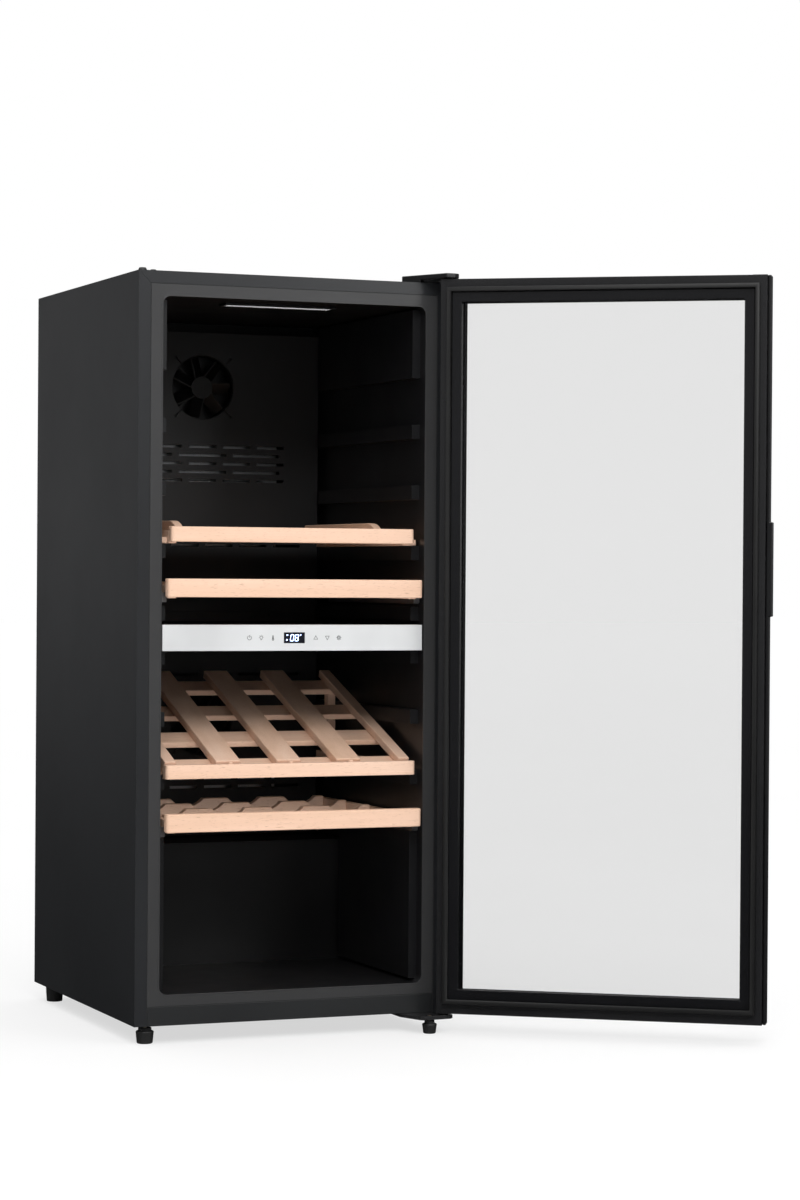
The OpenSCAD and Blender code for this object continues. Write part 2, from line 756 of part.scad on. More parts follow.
// Gland in the rear cover that the mains cord passes through.
module cord_gland() {
    color([0.04, 0.04, 0.04]) difference() {
        union() {
            rod_y(gland_x(), base_z + 40, gland_r, back - 12, back + 3);
            rod_y(gland_x(), base_z + 40, gland_flange_r, back, back + 3);
        }
        rod_y(gland_x(), base_z + 40, gland_bore_r, back - 13, back + 4);
    }
}

// Evaporator of one zone: a sheet with a serpentine tube bonded to its face.
module evaporator(z0, z1) {
    runs = floor((z1 - z0 - 20) / tube_pitch);
    color([0.75, 0.76, 0.78]) {
        box([-150, duct_rear + 18, z0], [150, duct_rear + 19.5, z1]);
        serpentine(230, runs, 3.5, 0, duct_rear + 15, z0 + 14);
    }
}

module evaporator_upper() {
    evaporator(upper_duct_z0 + 70, upper_duct_z0 + 320);
}

module evaporator_lower() {
    evaporator(lower_duct_z0 + 15, lower_fan - fan_w / 2 - 20);
}

// Cover of the upper zone's air duct.
module duct_cover_upper() {
    color([0.1, 0.1, 0.105]) duct_cover(upper_duct_z0, upper_duct_z1, upper_fan) {
        for (i = [0 : 4])
            slot_row(upper_fan - slot_drop - i * slot_pitch, i % 2 == 0 ? 5 : 3, i % 2 == 0 ? slot_w : 90,
                     slot_gap);
        slot_row(upper_fan - slot_drop - 178.4, 6, slot_w, slot_gap);
        box([-duct_x + 20, duct_face - 1, upper_duct_z0 + 5], [duct_x - 20, duct_face + 1, upper_duct_z0 + 17]);
        rod_y(-130, upper_duct_z0 + 11, 2.5, duct_face - 1, duct_rear + 1);
        rod_y(130, upper_duct_z0 + 11, 2.5, duct_face - 1, duct_rear + 1);
    }
}

// Cover of the lower zone's air duct.
module duct_cover_lower() {
    color([0.1, 0.1, 0.105]) duct_cover(lower_duct_z0, lower_duct_z1, lower_fan) {
        slot_row(lower_fan + 88, 6, slot_w, slot_gap);
        slot_row(lower_fan - 100, 6, slot_w, slot_gap);
        slot_row(lower_fan - 100 - slot_pitch, 6, slot_w, slot_gap);
    }
}

module fan_frame_upper() {
    color([0.05, 0.05, 0.05]) fan_frame(upper_fan);
}

module fan_frame_lower() {
    color([0.05, 0.05, 0.05]) fan_frame(lower_fan);
}

module impeller_upper() {
    color([0.04, 0.04, 0.04]) impeller(upper_fan);
}

module impeller_lower() {
    color([0.04, 0.04, 0.04]) impeller(lower_fan);
}

// Insulated divider between the zones.
module zone_divider() {
    color([0.07, 0.07, 0.075])
        box([-open_x, front + panel_y + panel_d, divider_z0], [open_x, liner_rear, divider_z1]);
}

// Control panel on the divider's front, with a recess for the display window.
module control_panel() {
    color([0.78, 0.79, 0.8]) difference() {
        box([-panel_w / 2, front + panel_y, panel_z0],
            [panel_w / 2, front + panel_y + panel_d, panel_z0 + panel_h]);
        box([-window_w / 2, front + panel_y - 1, panel_z0 + (panel_h - window_h) / 2],
            [window_w / 2, front + panel_y + window_t, panel_z0 + (panel_h + window_h) / 2]);
    }
}

// Dark window over the temperature display.
module display_window() {
    z0 = panel_z0 + (panel_h - window_h) / 2;
    color([0.01, 0.01, 0.03])
        box([-window_w / 2, front + panel_y, z0], [window_w / 2, front + panel_y + window_t, z0 + window_h]);
}

// Frame of the ceiling light.
module light_housing() {
    y = front + light_y;
    color([0.08, 0.08, 0.085]) difference() {
        box([-lens_w / 2 - 5, y - 5, open_z1 - light_t], [lens_w / 2 + 5, y + lens_d + 5, open_z1]);
        box([-lens_w / 2, y, open_z1 - light_t - 1], [lens_w / 2, y + lens_d, open_z1 - 1.5]);
    }
}

// Frosted lens in the ceiling light.
module light_lens() {
    y = front + light_y;
    color([0.95, 0.96, 1])
        box([-lens_w / 2, y, open_z1 - light_t + 0.5], [lens_w / 2, y + lens_d, open_z1 - 1.5]);
}

// Top hinge plate with its pin, screwed to the cabinet's top through a block that lifts it to the door's top.
module hinge_plate_top() {
    color([0.3, 0.3, 0.31]) {
        difference() {
            union() {
                translate([0, 0, plate_z]) linear_extrude(plate_t) plate_plan();
                translate([0, 0, top_z]) linear_extrude(hinge_lift) intersection() {
                    plate_plan();
                    translate([0, front + 2]) square([half_w, body_d]);
                }
            }
            for (p = top_screws())
                translate([p[0], p[1], top_z - 1]) cylinder(r = 2.5, h = hinge_lift + plate_t + 2);
        }
        translate([hinge_x, hinge_y, door_z1 - pin_in])
            cylinder(r = pin_r, h = plate_z + plate_t - door_z1 + pin_in);
    }
}

// Plastic cover over the top hinge plate, and two blanking caps over the spare hinge holes on the left.
module hinge_cover() {
    cover_h = hinge_lift + plate_t + cover_over;
    color([0.06, 0.06, 0.065]) {
        difference() {
            translate([0, 0, top_z]) linear_extrude(cover_h) cover_plan();
            translate([0, 0, top_z - 1]) linear_extrude(cover_h - 0.5) offset(delta = -2) cover_plan();
            box([0, hinge_y - 30, top_z - 1], [half_w, front - 0.5, plate_z]);
        }
        translate([-half_w + 9, front + 9, top_z]) cylinder(r1 = 7.5, r2 = 5.5, h = 4.5);
        translate([-half_w + 32, front + 24, top_z]) cylinder(r1 = 6, r2 = 4.5, h = 3.5);
    }
}

// Plan of the hinge cover: square at the back, slanting on the left, with a round front corner.
module cover_plan() {
    r = 14;
    hull() {
        polygon([[half_w - 72, front + 36], [half_w - 0.5, front + 36], [half_w - 28, hinge_y - 25]]);
        translate([half_w - 0.5 - r, hinge_y - 25 + r]) circle(r);
    }
}

// Bottom hinge bracket with its pin and washer; the right front foot is screwed into it.
module hinge_plate_bottom() {
    z0 = base_z - bracket_t;
    color([0.16, 0.16, 0.17]) {
        difference() {
            translate([0, 0, z0]) linear_extrude(bracket_t) bracket_plan();
            translate([bracket_foot_x, bracket_foot_y, z0 - 1])
                cylinder(r = stud_r + run_fit, h = bracket_t + 2);
            for (p = bottom_screws()) translate([p[0], p[1], z0 - 1]) cylinder(r = 2.5, h = bracket_t + 2);
        }
        translate([hinge_x, hinge_y, z0]) cylinder(r = pin_r, h = bracket_t + door_foot + pin_in);
        translate([hinge_x, hinge_y, z0]) cylinder(r = 7, h = bracket_t + door_foot - 0.5);
    }
}

// Places of the hinge screws.
function top_screws() = [[half_w - 50, front + 24], [half_w - 32, front + 24], [half_w - 14, front + 24]];
function bottom_screws() = [[half_w - 48, front + 36], [half_w - 12, front + 38]];

// Screws through both hinge plates.
module hinge_screws() {
    color([0.6, 0.6, 0.62]) {
        for (p = top_screws()) {
            translate([p[0], p[1], top_z]) cylinder(r = 2.5, h = hinge_lift + plate_t + 1);
            translate([p[0], p[1], plate_z + plate_t]) cylinder(r = 4.5, h = 2);
        }
        for (p = bottom_screws()) {
            translate([p[0], p[1], base_z - bracket_t - 1]) cylinder(r = 2.5, h = bracket_t + 1);
            translate([p[0], p[1], base_z - bracket_t - 2]) cylinder(r = 4.5, h = 2);
        }
    }
}

// Fixed rear feet.
module rear_feet() {
    color([0.07, 0.07, 0.07])
        both_sides() translate([foot_x, back - 45, 0]) cylinder(r1 = 14, r2 = 16, h = base_z);
}

// Tapered foot of radius r and height h with a neck, screwed in and out by its stud.
module foot(r, h) {
    color([0.06, 0.06, 0.06]) difference() {
        rotate_extrude()
            polygon([[0, 0], [r - 2.5, 0], [r - 1.5, 2], [r, h - 7], [r - 1, h - 5],
                     [r - 4, h - 4], [r - 4, h], [0, h]]);
        translate([0, 0, stud_z]) cylinder(r = stud_r, h = h);
    }
}

// Stud of a front foot, up to height z.
module foot_stud(z) {
    color([0.75, 0.74, 0.7]) translate([0, 0, stud_z]) cylinder(r = stud_r, h = z - stud_z);
}

module foot_left() {
    translate([-foot_x, foot_front]) foot(foot_r, base_z - stud_gap);
}

module foot_stud_left() {
    translate([-foot_x, foot_front]) foot_stud(base_z + nut_h - 0.5);
}

module foot_right() {
    translate([bracket_foot_x, bracket_foot_y]) foot(bracket_foot_r, base_z - bracket_t - bracket_gap);
}

module foot_stud_right() {
    translate([bracket_foot_x, bracket_foot_y]) foot_stud(base_z);
}

// Fixed channels of the two pull-out shelves.
module runner_rails() {
    color([0.5, 0.5, 0.52]) both_sides() {
        rail_channel(pull_upper_z);
        rail_channel(pull_lower_z);
    }
}

// Bars round the door between the panes, bored for the hinge bushes.
module door_frame() {
    color([0.1, 0.1, 0.105]) on_door() difference() {
        ring(bar_x, door_z0 + 1.5, door_z1 - 1.5, bar_x - bar_w, door_z0 + 1.5 + bar_w, door_z1 - 1.5 - bar_w,
             outer_pane_y, frame_y);
        bush_space();
    }
}

// Room for the two hinge bushes.
module bush_space() {
    translate([hinge_x, hinge_y, door_z0 - 1]) cylinder(r = bush_r, h = bush_h + 1);
    translate([hinge_x, hinge_y, door_z1 - bush_h]) cylinder(r = bush_r, h = bush_h + 1);
}

// Black plastic frame on the door's inner side, with a raised ridge and a groove for the gasket.
module door_inner_frame() {
    g = gasket_in - 0.8;
    color([0.05, 0.05, 0.055]) on_door() difference() {
        union() {
            ring(door_x - 0.5, door_z0 + 0.5, door_z1 - 0.5, clear_x, clear_z0, clear_z1,
                 frame_y, door_in - ridge_t);
            ring(clear_x + g, clear_z0 - g, clear_z1 + g, clear_x, clear_z0, clear_z1, frame_y + 1, door_in);
        }
        gasket_ring(0, door_in - ridge_t - gasket_seat, door_in + 1);
    }
}

// The gasket's course round the door, narrowed by d on each side.
module gasket_ring(d, y0, y1) {
    a = gasket_in + gasket_w - d;
    b = gasket_in + d;
    ring(clear_x + a, clear_z0 - a, clear_z1 + a, clear_x + b, clear_z0 - b, clear_z1 + b, y0, y1);
}

// Outer pane, covering the whole front of the door.
module door_outer_glass() {
    color([0.25, 0.27, 0.28, 0.4]) on_door() box([-door_x, door_out, door_z0], [door_x, outer_pane_y, door_z1]);
}

// Inner pane behind the inner frame.
module door_inner_glass() {
    color([0.3, 0.32, 0.33, 0.4]) on_door()
        box([-pane_x, frame_y - inner_pane_t, door_z0 + 20], [pane_x, frame_y, door_z1 - 20]);
}

// Spacer sealed between the panes.
module glass_spacer() {
    color([0.03, 0.03, 0.03]) on_door()
        ring(pane_x - 1, door_z0 + 21, door_z1 - 21, pane_x - 1 - spacer_w, door_z0 + 21 + spacer_w,
             door_z1 - 21 - spacer_w, outer_pane_y, frame_y - inner_pane_t);
}

// Magnetic gasket: a base in the frame's groove and a narrower bellows.
module door_gasket() {
    color([0.02, 0.02, 0.02]) on_door() {
        gasket_ring(0, door_in - ridge_t - gasket_seat, door_in + 2.5);
        gasket_ring(1.5, door_in + 2, door_in + 5);
        gasket_ring(0, door_in + 4.5, front - gasket_gap);
    }
}

// Strip along the door's free edge, with a slim grip standing out from it.
module door_grip() {
    x = -door_x - strip_t;
    z0 = base_z + grip_z - grip_l / 2;
    z1 = z0 + grip_l;
    color([0.04, 0.04, 0.045]) on_door() {
        box([x, door_out, door_z0], [-door_x, frame_y, door_z1]);
        box([x - grip_out, door_out - 4, z0], [x, frame_y, z1]);
        box([x - grip_out, door_out - 4, z0], [-door_x + 14, door_out, z1]);
    }
}

// End caps on the door's free corners.
module door_end_caps() {
    color([0.05, 0.05, 0.05]) on_door() {
        box([-bar_x, outer_pane_y, door_z1 - 1.5], [-bar_x + 24, frame_y, door_z1 + cap_t]);
        box([-bar_x, outer_pane_y, door_z0 - cap_t], [-bar_x + 24, frame_y, door_z0 + 1.5]);
    }
}

// Plastic bushes the hinge pins turn in.
module hinge_bushes() {
    color([0.8, 0.8, 0.78]) on_door() difference() {
        union() {
            translate([hinge_x, hinge_y, door_z0]) cylinder(r = bush_r, h = bush_h);
            translate([hinge_x, hinge_y, door_z1 - bush_h]) cylinder(r = bush_r, h = bush_h);
        }
        translate([hinge_x, hinge_y, door_z0 - 1]) cylinder(r = pin_r + run_fit, h = pin_in + 3);
        translate([hinge_x, hinge_y, door_z1 - pin_in - 2]) cylinder(r = pin_r + run_fit, h = pin_in + 3);
    }
}

module shelf1_fascia() {
    color([0.86, 0.7, 0.54]) fascia(stand_w, stand_h, front + stand_y, stand_z);
}

// Boards across the standing shelf.
module shelf1_slats() {
    y0 = front + stand_y + fascia_t + 8;
    pitch = (shelf_back - y0 - 50) / 5;
    x = stand_w / 2 - rail_t;
    color([0.84, 0.68, 0.52]) for (i = [0 : 5])
        box([-x, y0 + i * pitch, stand_top - 12], [x, y0 + i * pitch + 50, stand_top]);
}

// Side rails of the standing shelf, with a tongue over the guides.
module shelf1_sides() {
    z0 = base_z + upper_guide_top + guide_pitch + slide_gap;
    x = stand_w / 2;
    color([0.84, 0.68, 0.52]) both_sides() {
        box([x - rail_t, front + stand_y + fascia_t, z0], [x, shelf_back, stand_top]);
        box([x - 2, front + guide_front + 4, z0], [cleat_x, shelf_back, z0 + 10]);
    }
}

// Curved cheeks that keep the standing bottles in.
module shelf1_cheeks() {
    x1 = stand_w / 2 - 30;
    y0 = front + stand_y + fascia_t + 30;
    y1 = shelf_back - 20;
    color([0.86, 0.7, 0.54]) both_sides() intersection() {
        box([x1 - rail_t, y0, stand_top], [x1, y1, stand_top + cheek_h]);
        union() {
            translate([0, y0 + 60, stand_top - 42]) rotate([0, 90, 0]) cylinder(r = 42 + cheek_h, h = half_w);
            box([0, y0 + 60, stand_top - 1], [half_w, y1, stand_top + cheek_h + 1]);
        }
    }
}

module shelf2_fascia() {
    color([0.86, 0.7, 0.54]) pull_fascia(pull_upper_z);
}

module shelf2_cradles() {
    color([0.84, 0.68, 0.52]) pull_cradles(pull_upper_z);
}

module shelf2_sides() {
    color([0.84, 0.68, 0.52]) pull_sides(pull_upper_z);
}

module shelf2_runners() {
    color([0.6, 0.6, 0.62]) pull_runners(pull_upper_z);
}

// Fascia of the tilted shelf, with small pegs between the lanes.
module shelf3_fascia() {
    color([0.86, 0.7, 0.54]) {
        fascia(tilt_w, tilt_h, front + tilt_y, tilt_z);
        for (i = [1 : lanes - 1])
            translate([(i - lanes / 2) * lane, front + tilt_y + fascia_t / 2, tilt_z + tilt_h - 1])
                cylinder(r = 4, h = 4);
    }
}

// Cross boards under the tilted shelf's planks.
module shelf3_slats() {
    color([0.84, 0.68, 0.52]) on_slope() for (i = [0 : 3])
        box([-guide_x + 0.8, i * 115, 0], [guide_x - 0.8, i * 115 + 45, deck_slat_t]);
}

// Level side rails of the tilted shelf, with tongues over the guides and legs at the back.
module shelf3_sides() {
    z0 = base_z + lower_guide_top + slide_gap;
    x1 = guide_x - 0.8;
    color([0.84, 0.68, 0.52]) difference() {
        both_sides() {
            box([x1 - rail_t, front + tilt_y + fascia_t, z0], [x1, shelf_back, z0 + 12]);
            box([x1 - 2, front + guide_front + 4, z0], [cleat_x, shelf_back, z0 + 10]);
            box([x1 - rail_t, shelf_back - 60, z0], [x1, shelf_back - 40, z0 + shelf_d * tan(tilt_angle)]);
        }
        on_slope() box([-half_w, -60, 0], [half_w, shelf_d + 60, 200]);
    }
}

// Planks between the lanes of the tilted shelf; a bottle lies between two of them.
module shelf3_planks() {
    color([0.8, 0.63, 0.46]) on_slope() {
        for (i = [1 : lanes - 1])
            box([(i - lanes / 2) * lane - plank_w / 2, plank_y, deck_slat_t],
                [(i - lanes / 2) * lane + plank_w / 2, 405, plank_z]);
        both_sides() box([guide_x - 0.8 - edge_plank_w, plank_y, deck_slat_t], [guide_x - 0.8, 405, plank_z]);
    }
}

module shelf4_fascia() {
    color([0.86, 0.7, 0.54]) pull_fascia(pull_lower_z);
}

module shelf4_cradles() {
    color([0.84, 0.68, 0.52]) pull_cradles(pull_lower_z);
}

module shelf4_sides() {
    color([0.84, 0.68, 0.52]) pull_sides(pull_lower_z);
}

module shelf4_runners() {
    color([0.6, 0.6, 0.62]) pull_runners(pull_lower_z);
}

outer_shell();
inner_liner();
insulation();
back_panel();
base_tray();
kick_panel();
compressor();
compressor_mounts();
refrigerant_pipes();
condenser();
rear_cover();
cord_gland();
evaporator_upper();
evaporator_lower();
duct_cover_upper();
duct_cover_lower();
fan_frame_upper();
fan_frame_lower();
impeller_upper();
impeller_lower();
zone_divider();
control_panel();
display_window();
light_housing();
light_lens();
hinge_plate_top();
hinge_cover();
hinge_plate_bottom();
hinge_screws();
rear_feet();
foot_left();
foot_stud_left();
foot_right();
foot_stud_right();
runner_rails();
door_frame();
door_inner_frame();
door_outer_glass();
door_inner_glass();
glass_spacer();
door_gasket();
door_grip();
door_end_caps();
hinge_bushes();
shelf1_fascia();
shelf1_slats();
shelf1_sides();
shelf1_cheeks();
shelf2_fascia();
shelf2_cradles();
shelf2_sides();
shelf2_runners();
shelf3_fascia();
shelf3_slats();
shelf3_sides();
shelf3_planks();
shelf4_fascia();
shelf4_cradles();
shelf4_sides();
shelf4_runners();
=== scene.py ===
# Wine cooler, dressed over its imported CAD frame. Metres, in the CAD's frame: front -Y, up +Z, floor at z = 0.
import json
import math

import bmesh
import bpy
from mathutils import Matrix, Vector


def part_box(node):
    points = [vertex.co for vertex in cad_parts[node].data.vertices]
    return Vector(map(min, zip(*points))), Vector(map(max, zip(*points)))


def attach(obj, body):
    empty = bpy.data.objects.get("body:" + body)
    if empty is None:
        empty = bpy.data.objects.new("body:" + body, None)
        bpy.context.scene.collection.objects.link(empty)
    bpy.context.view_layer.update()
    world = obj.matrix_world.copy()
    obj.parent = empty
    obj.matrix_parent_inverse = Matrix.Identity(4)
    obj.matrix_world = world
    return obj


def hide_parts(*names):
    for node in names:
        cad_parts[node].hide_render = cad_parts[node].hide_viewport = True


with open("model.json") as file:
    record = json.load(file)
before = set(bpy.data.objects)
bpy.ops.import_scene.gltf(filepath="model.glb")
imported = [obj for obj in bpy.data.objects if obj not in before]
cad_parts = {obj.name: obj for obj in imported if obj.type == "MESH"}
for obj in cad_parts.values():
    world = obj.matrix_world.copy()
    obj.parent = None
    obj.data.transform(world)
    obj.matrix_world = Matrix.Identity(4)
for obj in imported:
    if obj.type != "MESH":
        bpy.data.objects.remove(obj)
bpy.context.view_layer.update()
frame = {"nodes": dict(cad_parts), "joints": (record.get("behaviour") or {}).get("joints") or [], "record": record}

nodes = frame["nodes"]
record = frame["record"]
scene = bpy.context.scene

# Sockets of the Mix node that take and give colours; its sockets share their names between kinds.
MIX_A, MIX_B, MIX_RESULT = 6, 7, 2


# ---------------------------------------------------------------- camera, floor and light

def add_camera():
    """Camera at the front left of the cabinet, about half its height up."""
    yaw, pitch, roll = math.radians(22.55), math.radians(-0.45), math.radians(0.40)
    toward = Vector((math.sin(yaw) * math.cos(pitch), math.cos(yaw) * math.cos(pitch), math.sin(pitch)))
    right = Vector((math.cos(yaw), -math.sin(yaw), 0))
    up = right.cross(toward)
    right, up = (right * math.cos(roll) + up * math.sin(roll), up * math.cos(roll) - right * math.sin(roll))
    data = bpy.data.cameras.new("camera")
    data.sensor_fit = "VERTICAL"
    data.sensor_height = 36
    data.lens = 91.97
    data.shift_y = -0.0017
    data.clip_end = 60
    cam = bpy.data.objects.new("camera", data)
    at = (-1.7939, -5.0730, 0.7725)
    rows = [(right[i], up[i], -toward[i], at[i]) for i in range(3)]
    cam.matrix_world = Matrix((*rows, (0, 0, 0, 1)))
    scene.collection.objects.link(cam)
    scene.camera = cam


def color_ramp(tree, fac, stops):
    """Colour ramp over fac; a stop's value is a colour or one number for a grey."""
    made = tree.nodes.new("ShaderNodeValToRGB")
    points = made.color_ramp.elements
    while len(points) < len(stops):
        points.new(0.5)
    for point, (pos, value) in zip(points, stops):
        point.position = pos
        point.color = (*value, 1) if isinstance(value, tuple) else (value, value, value, 1)
    tree.links.new(fac, made.inputs["Fac"])
    return made.outputs["Color"]


def area_light(name, at, aim, size, power):
    """Rectangular lamp of size metres at one point, facing another."""
    data = bpy.data.lights.new(name, "AREA")
    data.shape = "RECTANGLE"
    data.size, data.size_y = size
    data.energy = power
    lamp = bpy.data.objects.new(name, data)
    lamp.location = at
    lamp.rotation_euler = (Vector(aim) - Vector(at)).to_track_quat("-Z", "Y").to_euler()
    scene.collection.objects.link(lamp)


def add_world():
    """White backdrop. Light and reflections come from a dim room that is brighter in front and above."""
    world = bpy.data.worlds.new("studio")
    scene.world = world
    world.use_nodes = True
    tree = world.node_tree
    back = tree.nodes["Background"]
    back.inputs["Strength"].default_value = 1.0

    def unit(socket):
        """A direction's component from -1 to 1, brought to 0 to 1."""
        made = tree.nodes.new("ShaderNodeMapRange")
        made.inputs["From Min"].default_value = -1
        tree.links.new(socket, made.inputs["Value"])
        return made.outputs["Result"]

    split = tree.nodes.new("ShaderNodeSeparateXYZ")
    tree.links.new(tree.nodes.new("ShaderNodeTexCoord").outputs["Generated"], split.inputs[0])
    by_height = [(0.455, 0.015), (0.48, 0.14), (0.505, 0.29), (0.56, 0.21), (0.80, 0.38)]
    front_to_back = [(0.2, 1.0), (0.6, 0.75), (1.0, 0.6)]
    height = color_ramp(tree, unit(split.outputs["Z"]), by_height)
    depth = color_ramp(tree, unit(split.outputs["Y"]), front_to_back)
    room = tree.nodes.new("ShaderNodeMix")
    room.data_type = "RGBA"
    room.blend_type = "MULTIPLY"
    room.inputs["Factor"].default_value = 1
    tree.links.new(height, room.inputs[MIX_A])
    tree.links.new(depth, room.inputs[MIX_B])
    seen = tree.nodes.new("ShaderNodeMix")
    seen.data_type = "RGBA"
    tree.links.new(tree.nodes.new("ShaderNodeLightPath").outputs["Is Camera Ray"], seen.inputs["Factor"])
    tree.links.new(room.outputs[MIX_RESULT], seen.inputs[MIX_A])
    seen.inputs[MIX_B].default_value = (1, 1, 1, 1)
    tree.links.new(seen.outputs[MIX_RESULT], back.inputs["Color"])


def add_studio():
    """White floor under a soft key lamp, a fill lamp at the right and a broad light from above."""
    add_world()
    scene.view_settings.view_transform = "Standard"
    area_light("key", (-1.2, -4.4, 3.8), (0, 0, 0.6), (2.4, 1.6), 92)
    area_light("fill", (2.5, -4.4, 2.5), (0.1, 0, 0.8), (1.4, 1.5), 34)
    overhead = bpy.data.lights.new("overhead", "SUN")
    overhead.energy = 2.5
    overhead.angle = math.radians(110)
    scene.collection.objects.link(bpy.data.objects.new("overhead", overhead))
    bm = bmesh.new()
    bmesh.ops.create_grid(bm, x_segments=8, y_segments=8, size=40)
    floor = finish_mesh("floor", bm, MAT["floor"])
    floor.visible_glossy = False


# ---------------------------------------------------------------- materials

MAT = {}


class Shader:
    """A node material being built, with the few node patterns the model uses."""

    def __init__(self, name, color, rough, metallic=0.0, coat=0.0):
        self.mat = bpy.data.materials.new(name)
        self.mat.use_nodes = True
        self.tree = self.mat.node_tree
        self.bsdf = self.tree.nodes["Principled BSDF"]
        self.bsdf.inputs["Base Color"].default_value = (*color, 1)
        self.bsdf.inputs["Roughness"].default_value = rough
        self.bsdf.inputs["Metallic"].default_value = metallic
        self.bsdf.inputs["Coat Weight"].default_value = coat
        self.mat.diffuse_color = (*color, 1)
        self.color = color
        MAT[name] = self.mat

    def node(self, kind, **inputs):
        made = self.tree.nodes.new(kind)
        for key, value in inputs.items():
            made.inputs[key.replace("_", " ")].default_value = value
        return made

    def link(self, a, b):
        self.tree.links.new(a, b)

    def feed(self, socket, value):
        """Gives a socket another node's output or a plain value."""
        if isinstance(value, bpy.types.NodeSocket):
            self.link(value, socket)
        else:
            socket.default_value = value

    def coords(self, scale):
        """Object coordinates in metres, stretched by scale along each axis."""
        coord = self.tree.nodes.new("ShaderNodeTexCoord")
        mapping = self.node("ShaderNodeMapping", Scale=scale)
        self.link(coord.outputs["Object"], mapping.inputs["Vector"])
        return mapping.outputs["Vector"]

    def noise(self, scale, detail=4.0, rough=0.55):
        made = self.node("ShaderNodeTexNoise", Scale=1.0, Detail=detail, Roughness=rough)
        self.link(self.coords(scale), made.inputs["Vector"])
        return made.outputs["Fac"]

    def calc(self, operation, a, b):
        """Result of one math node; a and b are sockets or numbers."""
        made = self.tree.nodes.new("ShaderNodeMath")
        made.operation = operation
        self.feed(made.inputs[0], a)
        self.feed(made.inputs[1], b)
        return made.outputs[0]

    def ramp(self, fac, stops):
        return color_ramp(self.tree, fac, stops)

    def mix(self, fac, a, b):
        made = self.tree.nodes.new("ShaderNodeMix")
        made.data_type = "RGBA"
        for socket, value in (("Factor", fac), (MIX_A, a), (MIX_B, b)):
            self.feed(made.inputs[socket], value)
        return made.outputs[MIX_RESULT]

    def surface(self, fac, first, second):
        """Makes the material a mix of two shaders, the second by the share fac."""
        blend = self.node("ShaderNodeMixShader")
        for socket, source in zip(blend.inputs, (fac, first, second)):
            self.link(source, socket)
        out = next(n for n in self.tree.nodes if n.type == "OUTPUT_MATERIAL")
        self.link(blend.outputs[0], out.inputs["Surface"])

    def vary_color(self, fac, low, high):
        """Base colour swings between low and high times itself."""
        shade = [tuple(c * k for c in self.color) for k in (low, high)]
        self.link(self.ramp(fac, [(0.3, shade[0]), (0.7, shade[1])]), self.bsdf.inputs["Base Color"])

    def vary_rough(self, fac, low, high):
        self.link(self.ramp(fac, [(0.3, low), (0.7, high)]), self.bsdf.inputs["Roughness"])

    def bump(self, height, depth, edge=0.0):
        """Bump of depth metres; edge rounds hard edges by that radius in shading."""
        made = self.node("ShaderNodeBump", Strength=1.0, Distance=depth)
        self.link(height, made.inputs["Height"])
        if edge:
            soft = self.node("ShaderNodeBevel", Radius=edge)
            self.link(soft.outputs["Normal"], made.inputs["Normal"])
        self.link(made.outputs["Normal"], self.bsdf.inputs["Normal"])


def painted(name, color, rough, peel=0.00003):
    """Sprayed sheet metal: faint orange peel, with gloss and shade that drift a little."""
    s = Shader(name, color, rough, coat=0.15)
    s.bsdf.inputs["Coat Roughness"].default_value = 0.25
    s.vary_rough(s.noise((3, 3, 3), 5), rough * 0.88, rough * 1.12)
    s.vary_color(s.noise((1.4, 1.4, 1.4), 3), 0.9, 1.12)
    s.bump(s.noise((420, 420, 420), 2, 0.4), peel, edge=0.0006)


def moulded(name, color, rough, grain=900, depth=0.00004, edge=0.0008, coat=0.0):
    """Injection-moulded plastic with a fine spark-eroded grain."""
    s = Shader(name, color, rough, coat=coat)
    s.vary_rough(s.noise((9, 9, 9), 4), rough * 0.85, rough * 1.15)
    s.vary_color(s.noise((5, 5, 5), 3), 0.88, 1.12)
    s.bump(s.noise((grain, grain, grain), 3, 0.6), depth, edge)
    return s


def brushed(name, color, rough, along=(4, 900, 900)):
    """Metal with fine lines along one axis, the one with the small scale."""
    s = Shader(name, color, rough, metallic=1.0)
    lines = s.noise(along, 6, 0.7)
    s.vary_rough(lines, rough * 0.7, rough * 1.35)
    s.vary_color(s.noise((12, 12, 12), 4), 0.85, 1.08)
    s.bump(lines, 0.00002, edge=0.0004)


def beech(name, along):
    """Steamed beech: pale pinkish tan with soft growth bands and short dark flecks along one axis."""
    dark, middle, pale = (0.75, 0.49, 0.34), (0.85, 0.575, 0.425), (0.90, 0.64, 0.495)
    fibre_tone, fleck_tone, cloud_tone = (0.66, 0.42, 0.26, 1), (0.42, 0.23, 0.13, 1), (0.78, 0.50, 0.34, 1)
    s = Shader(name, middle, 0.5)

    def stretched(across, length):
        return tuple(length if i == along else across for i in range(3))

    bands = s.noise(stretched(26, 1.6), 5, 0.6)
    fibre = s.noise(stretched(520, 9), 5, 0.7)
    fleck = s.noise(stretched(1100, 85), 2, 0.5)
    cloud = s.noise((3.2, 3.2, 3.2), 3)
    base = s.ramp(bands, [(0.28, dark), (0.5, middle), (0.74, pale)])
    base = s.mix(s.ramp(fibre, [(0.35, 0.0), (0.75, 0.20)]), base, fibre_tone)
    base = s.mix(s.ramp(fleck, [(0.63, 0.0), (0.70, 0.55)]), base, fleck_tone)
    base = s.mix(s.ramp(cloud, [(0.3, 0.0), (0.7, 0.14)]), base, cloud_tone)
    s.link(base, s.bsdf.inputs["Base Color"])
    s.vary_rough(fibre, 0.44, 0.60)
    s.bump(fibre, 0.00006, edge=0.0012)


